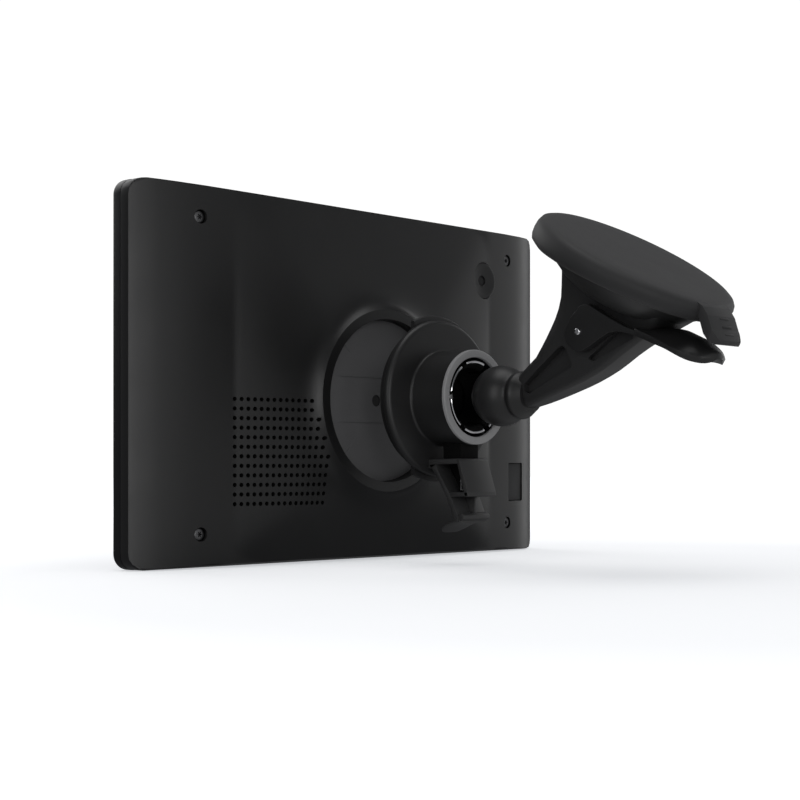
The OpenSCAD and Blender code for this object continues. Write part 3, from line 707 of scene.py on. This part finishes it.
X = 6.1                                          # half width of the hood
hood = [
    plate_yz("front", [(50.6, 29.9), (51.6, 30.2), (52.0, 29.6), (55.1, 20.6), (55.2, 19.5), (54.0, 19.3),
                       (53.4, 20.6)], -X, X, 0.35),
    plate_yz("top", [(39.6, 29.9), (51.4, 30.2), (51.0, 28.7), (43.2, 28.5), (41.2, 27.4), (38.6, 27.4)], -X,
             X, 0.3),
    plate_yz("lip", [(47.9, 20.7), (54.8, 20.7), (55.1, 19.5), (48.3, 19.3)], -X, X, 0.3),
    plate_yz("back", [(40.2, 28.4), (42.9, 28.6), (43.7, 26.6), (47.9, 20.7), (48.7, 19.3), (51.4, 13.6),
                      (51.2, 12.3), (49.9, 12.7),
                      (47.0, 19.0), (42.8, 25.6)], -X, X, 0.3),
    plate_yz("wall", [(42.5, 28.6), (51.4, 28.6), (54.0, 20.5), (47.8, 20.3)], -X, 0.5, 0.2),
    plate_yz("shelf", [(49.9, 14.5), (52.3, 14.9), (53.1, 14.1), (53.0, 13.1), (52.2, 12.6), (50.0, 12.5)],
             -X + 0.5, X - 0.5, 0.35),
    plate_yz("rib", [(47.8, 19.5), (52.6, 19.5), (52.5, 14.5), (50.6, 14.3)], -0.35, 0.35, 0.1, 0.1),
    plate_yz("neck", [(43.5, 34.6), (50.4, 34.6), (50.4, 29.9), (43.5, 29.9)], -3.7, 3.7, 0.3),
]
# curved lower lip, like the bowl of a spoon
lip_rings = []
for k in range(9):
    w = k / 8
    y = 51.6 - 8.6 * w
    z = 12.1 - 2.9 * w ** 1.2 + 0.4 * math.sin(math.pi * w)
    half = (X - 0.2) * math.sqrt(1 - (0.93 * w) ** 6)
    thick = 0.9 - 0.35 * w
    ring_pts = []
    for j in range(24):
        a = 2 * math.pi * j / 24
        c, s_ = math.cos(a), math.sin(a)
        px = half * abs(c) ** 0.45 * (1 if c >= 0 else -1)
        pz = thick / 2 * abs(s_) ** 0.7 * (1 if s_ >= 0 else -1) + 0.5 * (px / X) ** 2
        ring_pts.append((px, y, z + pz))
    lip_rings.append(ring_pts)
hood.append(loft("spoon", lip_rings, PORT))
# painted shade: the channel's wall and the neck get the near-black, barely reflecting collet material, so
# they look as if they stand in the dark
inner = [hood.pop(4), hood.pop(6)]
port = join("port_hood", hood)
finish_piece(join("port_painted_shade", inner), collet_and_shade_black, "head", None, 35)
# painted light: the hood takes the paler black that stands in for light on its front plate
finish_piece(port, port_black_painted_light, "head", "port_bracket", 35)

# ---- ball, neck and arm ----
BALL = NAV @ Matrix.Translation((0, BALL_Y, DZ)) @ TURN
BALL_R = 8.5
prof = [(0.0, -BALL_R)] + [(BALL_R * math.cos(math.radians(t)), BALL_R * math.sin(math.radians(t)))
                           for t in range(-84, 42, 4)]
prof += [(6.25, 5.95), (6.22, 6.3), (6.4, 6.6), (6.62, 7.1), (6.66, 7.6), (6.5, 8.1), (6.1, 8.7), (5.5, 9.6),
         (4.9, 10.6), (0.0, 11.2)]
ball = lathe("ball_and_collar", prof, BALL, 96, closed=False)
finish_piece(ball, ball_black, "bracket", "ball", 50)

# arm: sections across the cup's axis, with a round nose and flat sides
PIN_S, PIN_N = -2, -23.6
n_st = [-52.2, -50.5, -48, -45.5, -43, -40.5, -38, -35, -32, -29, -26, -23, -20, -17, -14, -11, -8.5]
front = spline([-52.2, -50.5, -48, -42, -36.7, -31.4, -26.2, -21.4, -16.8, -12, -8.5],
               [-15.6, -17.2, -18.4, -16.7, -15.1, -15.1, -15.2, -16.0, -18.1, -20.6, -22.6], n_st)
flat = spline([-52.2, -48, -45, -41, -38.4, -35, -30, -25.2, -20.9, -15.6, -8.5],
              [-13.6, -15.2, -14.6, -12.7, -11.4, -10.6, -9.3, -9.1, -9.9, -12.2, -14.0], n_st)
rear = spline([-52.2, -50.5, -46, -41.9, -35.1, -28.6, -22.4, -17.1, -12, -8.5],
              [-11.4, -9.6, -5.4, -1.8, 3.9, 8.3, 11.5, 14.6, 17.4, 19.0], n_st)
SIDE_ROUND, REAR_ROUND = 1.3, 2.2
wide = spline([-52.2, -50, -47, -40, -30, -20, -14, -8.5], [2.6, 3.3, 3.9, 4.4, 4.5, 4.6, 5.4, 8.5], n_st)
rings = []
for n_, f, s_, r_, w_ in zip(n_st, front, flat, rear, wide):
    pts = []
    for t in np.linspace(-90, 90, 17):
        a = math.radians(t)
        pts.append((w_ * math.sin(a), s_ - (s_ - f) * math.cos(a), n_))
    for sx, turns in ((1, np.linspace(0, 90, 7)), (-1, np.linspace(90, 0, 7))):
        for t in turns:
            a = math.radians(t)
            pts.append((sx * (w_ - SIDE_ROUND + SIDE_ROUND * math.cos(a)),
                        r_ - REAR_ROUND + REAR_ROUND * math.sin(a), n_))
    rings.append(pts)
arm = loft("arm_core", rings, CUP)
for sx in (-1, 1):
    pocket = prism("pocket", rounded([(-13.3, -45.7), (-7.9, -31.4), (-6.9, -30.2), (-5.4, -30.3),
                                      (-1.6, -32.6), (-1.2, -33.8), (-10.7, -47.2), (-12.4, -47.3)], 0.6, 3),
                   sx * 1.9, sx * 7.0, CUP)
    boolean(arm, pocket)
    slit = prism("slit", rounded([(2.2, -29.3), (4.6, -28.6), (12.6, -17.6), (11.6, -15.6), (8.2, -15.9)],
                                 0.5, 3), sx * 3.0, sx * 7.0, CUP)
    boolean(arm, slit)
# slot for the stem's yoke, and the pin's bore
boolean(arm, box("yoke", (-2.6, -9.7, -30.2), (2.6, 3.3, -5.5), CUP))
pin_bore = lathe("pb", [(0, -12), (1.0, -12), (1.0, 12), (0, 12)], across_cup(0, PIN_S, PIN_N), 24,
                 closed=False)
boolean(arm, pin_bore)
dome = lathe("dome", [(9.05, -3.6), (9.05, -8.3), (3.2, -8.3), (3.2, -12.6)] + [(6, -13.4), (10, -13.3),
                                                                                (13.5, -12.4), (17, -10.8),
                                                                                (20.0, -8.8), (22.2, -7.0),
                                                                                (23.0, -6.1), (22.9, -5.3),
                                                                                (22.3, -4.9)]
             + [(16.6, -5.2), (12, -5.6)], CUP, 128)
arm = join("arm_and_dome", [arm, dome])
finish_piece(arm, arm_black, "bracket", "arm_bracket", 35)

# ---- suction cup ----
cup_prof = [(0, 0.0), (20, 0.0), (24.6, -0.04), (26.2, -0.25), (27.2, -0.75), (27.8, -1.5), (28.0, -2.4),
            (27.9, -3.3), (27.5, -4.2), (26.8, -5.0),
            (25.9, -5.5), (24.8, -5.65), (23.7, -5.4), (23.3, -4.8), (22.6, -4.5), (18.5, -4.5), (12, -4.6),
            (8.8, -4.7), (8.8, -8.2), (3.2, -8.2),
            (3.2, -6.6), (6.2, -6.6), (6.2, -1.6), (0, -1.6)]
cup = lathe("cup_disc", cup_prof, Matrix.Identity(4), 160, closed=False)
# the soft edge droops on one side and has a slight ripple; the face above it stays flat
DROOP, DROOP_FROM_R, FACE_DEPTH = 2.3, 18, 0.8
for v in cup.data.vertices:
    r, turn = math.hypot(v.co.x, v.co.y), math.atan2(v.co.y, v.co.x)
    out = max(0, (r - DROOP_FROM_R) / 10) ** 2
    below = min(1, max(0, -v.co.z - FACE_DEPTH) / 3)
    ripple = 0.35 * math.exp(-((turn + 1.0) / 0.16) ** 2) - 0.25 * math.exp(-((turn + 0.62) / 0.14) ** 2)
    v.co.z -= below * out * (DROOP * max(0, math.cos(turn + 0.8)) ** 2 + ripple)
cup.data.transform(CUP)
# pull tab: a side view cut to a round-ended plan, with three ribs
tab_side = [(24.6, -0.25), (27.6, -0.45), (30.2, -1.7), (33.0, -4.1), (35.6, -5.7), (36.2, -6.6),
            (35.2, -7.2), (33.6, -7.1), (31.4, -6.2), (28.8, -3.9), (27.0, -2.7), (24.6, -2.3)]
tab = prism("tab", rounded(tab_side, 0.6, 3), -6.2, 6.2, CUP)
round_tab = prism("round_tab", rounded([(-5.6, 20), (5.6, 20), (6.2, 28), (6.2, 33.5), (4.6, 36.3),
                                        (-4.6, 36.3), (-6.2, 33.5), (-6.2, 28)], [0, 0, 3, 2, 3, 3, 2, 3],
                                        5), -12, 3, CUP, "xy")
boolean(tab, round_tab, "INTERSECT")
bevel(tab, 0.35, 3, 40)
ribs = []
for s0 in (30.6, 32.3, 34.0):
    n0 = -1.75 - (s0 - 30.2) * 0.80 - 0.15
    ribs.append(lathe("rib", [(0, -2.1)] + arc(0, -1.75, 0.34, -90, 0, 3) + arc(0, 1.75, 0.34, 0, 90,
                                                                                3) + [(0, 2.1)],
                      across_cup(-1.0, s0, n0), 16, closed=False))
cup = join("suction_pad", [cup, tab] + ribs)
finish_piece(cup, cup_rubber, "bracket", "suction_cup", 40)

# ---- lever ----
cheek = [(-6.0, -25.7), (-6.2, -22.0), (-5.0, -17.6), (-3.2, -16.0), (4, -15.9), (10.3, -15.5),
         (15.0, -14.6), (20.0, -13.55), (26.5, -12.85), (26.5, -13.7), (19.0, -15.2),
         (12.5, -16.4), (9.0, -17.6), (6.8, -19.2), (4.9, -22.0), (3.2, -25.1), (1.3, -27.8), (-0.8, -28.5),
         (-3.4, -28.1), (-5.4, -26.9)]
LEVER_HALF, TIP_FROM, TIP_LENGTH = 9.0, 25.5, 9.75
lever_parts = []
for sx in (-1, 1):
    c = prism("cheek", rounded(cheek, 0.9, 3), sx * 5.0, sx * 7.6, CUP)
    lever_parts.append(bevel(c, 0.45, 3, 40))
sheet_s = np.concatenate([np.linspace(13.5, 31, 15), [32, 33, 33.8, 34.4, 34.8, 35.05, 35.2]])
edge_n = spline([13.5, 20.7, 26.3, 31.6, 35.2], [-14.4, -13.3, -12.8, -12.1, -11.2], sheet_s)
under_n = spline([13.5, 20, 26, 31, 33.5, 34.6, 35.2], [-16.0, -14.9, -14.0, -13.8, -13.3, -12.7, -11.6],
                 sheet_s)
crown = spline([13.5, 18, 23, 28, 32, 34.3, 35.2], [0.3, 2.2, 3.6, 3.7, 3.0, 1.8, 0.3], sheet_s)
rings = []
for s_, e_, u_, c_ in zip(sheet_s, edge_n, under_n, crown):
    half = LEVER_HALF * math.sqrt(max(1 - max(0, (s_ - TIP_FROM) / TIP_LENGTH) ** 2.4, 0.04))
    half *= min(1, 0.84 + (s_ - 13.5) * 0.02)
    pts = []
    for j in range(25):
        v = 1 - 2 * j / 24
        pts.append((half * v, s_, e_ + c_ * (1 - abs(v) ** 2.2)))
    for j in range(13):
        v = -1 + 2 * j / 12
        pts.append((half * v * 0.985, s_, u_ + 0.5 * (1 - v * v)))
    rings.append(pts)
sheet = loft("sheet", rings, CUP)
lever_parts.append(bevel(sheet, 0.22, 2, 50))
lever = join("lever_body", lever_parts)
finish_piece(lever, lever_black, "lever", "lever", 40)
pin_side = [(0, -8.0)] + arc(0.55, -7.75, 0.4, -90, 0, 3) + [(0.95, 7.75)]
pin_side += arc(0.55, 7.75, 0.4, 0, 90, 3)[1:] + [(0, 8.15)]
pin = lathe("pin_rod", pin_side, across_cup(0, PIN_S, PIN_N), 32, closed=False)
finish_piece(pin, chrome, "lever", "pivot_pin")

# ---- stage ----
floor_z = lo.z - 0.00005
fm = bpy.data.materials.new("floor_white")
fm.use_nodes = True
fb = fm.node_tree.nodes["Principled BSDF"]
fb.inputs["Base Color"].default_value = (0.93, 0.93, 0.935, 1)
fb.inputs["Roughness"].default_value = 0.55
fb.inputs["Specular IOR Level"].default_value = 0.3
# the pale floor glows a little more with distance, so it runs into the background
ftc = fm.node_tree.nodes.new("ShaderNodeTexCoord")
flen = fm.node_tree.nodes.new("ShaderNodeVectorMath")
flen.operation = "LENGTH"
fmap = fm.node_tree.nodes.new("ShaderNodeMapRange")
fmap.inputs["From Min"].default_value, fmap.inputs["From Max"].default_value = 0.18, 0.5
fmap.inputs["To Min"].default_value, fmap.inputs["To Max"].default_value = 0.55, 1.1
fm.node_tree.links.new(ftc.outputs["Object"], flen.inputs[0])
fm.node_tree.links.new(flen.outputs["Value"], fmap.inputs["Value"])
fm.node_tree.links.new(fmap.outputs["Result"], fb.inputs["Emission Strength"])
fb.inputs["Emission Color"].default_value = (0.95, 0.97, 1.0, 1)
FLOOR_HALF = 3.0
floor = new_obj("floor", [(x, y, floor_z) for x, y in rect(-FLOOR_HALF, -FLOOR_HALF, FLOOR_HALF, FLOOR_HALF)],
                [(0, 1, 2, 3)], Matrix.Identity(4))
floor.data.materials.append(fm)
floor.visible_glossy = floor.visible_diffuse = False

# dim surroundings that the camera sees as white
world = bpy.data.worlds.new("studio")
scene.world = world
world.use_nodes = True
wn = world.node_tree
bg = wn.nodes["Background"]
bg.inputs["Color"].default_value = (0.55, 0.56, 0.58, 1)
bg.inputs["Strength"].default_value = 0.22
white = wn.nodes.new("ShaderNodeBackground")
white.inputs["Color"].default_value = (1, 1, 1, 1)
white.inputs["Strength"].default_value = 1.05
path = wn.nodes.new("ShaderNodeLightPath")
mixw = wn.nodes.new("ShaderNodeMixShader")
wn.links.new(path.outputs["Is Camera Ray"], mixw.inputs[0])
wn.links.new(bg.outputs[0], mixw.inputs[1])
wn.links.new(white.outputs[0], mixw.inputs[2])
wn.links.new(mixw.outputs[0], wn.nodes["World Output"].inputs["Surface"])

centre = Vector((0, lo.y + 0.06, lo.z + 0.06))


def area(name, azimuth, elevation, dist, w, h, power):
    """Soft light seen from the object at that azimuth, measured from +Y towards -X."""
    a, e = math.radians(azimuth), math.radians(elevation)
    d = Vector((-math.sin(a) * math.cos(e), math.cos(a) * math.cos(e), math.sin(e)))
    data = bpy.data.lights.new(name, "AREA")
    data.shape, data.size, data.size_y, data.energy = "RECTANGLE", w, h, power
    o = bpy.data.objects.new(name, data)
    scene.collection.objects.link(o)
    o.location = centre + d * dist
    o.rotation_euler = (-d).to_track_quat("-Z", "Y").to_euler()
    o.visible_camera = False
    return o


# tall boxes round the back of the navigator: (azimuth, elevation, height, watts)
BOXES = ((-80, 12, 1.1, 3.2), (-35, 4, 0.8, 3.0), (-15, 3, 0.7, 1.3), (5, 6, 0.8, 0.65),
         (25, 10, 1.0, 0.35), (45, 8, 0.9, 0.15), (65, 10, 1.0, 0.6), (90, 12, 1.1, 1.7))
for azimuth, rise, tall, watts in BOXES:
    area("box_%d" % azimuth, azimuth, rise, 1.5, 0.36, tall, watts)
area("top_box", 20, 85, 1.5, 1.2, 1.2, 6.5)
bounce = area("bounce", 0, -88, 0.3, 0.9, 0.6, 0.38)
bounce.location = (0, lo.y + 0.36, floor_z + 0.002)
bounce.rotation_euler = (math.pi, 0, 0)
area("screen_fill", 180, 25, 1.6, 1.2, 1.0, 6)

# ---- camera: level, with its frame shifted up; its place is in millimetres of the navigator's frame ----
LENS, SHIFT_UP = 71.25, 0.0834
CAMERA_AT, CAMERA_TURN = (338.2, 354.1, 28.04), 0.802
cam = bpy.data.cameras.new("camera")
cam.sensor_width = 36
cam.lens = LENS
cam.shift_y = SHIFT_UP
cam.clip_start = 0.01
cam_obj = bpy.data.objects.new("camera", cam)
scene.collection.objects.link(cam_obj)
cam_obj.location = NAV @ Vector(CAMERA_AT)
cam_obj.rotation_euler = (math.pi / 2, 0, math.pi - CAMERA_TURN)
scene.camera = cam_obj
scene.view_settings.view_transform = "Standard"
scene.view_settings.look = "None"

bpy.context.view_layer.update()
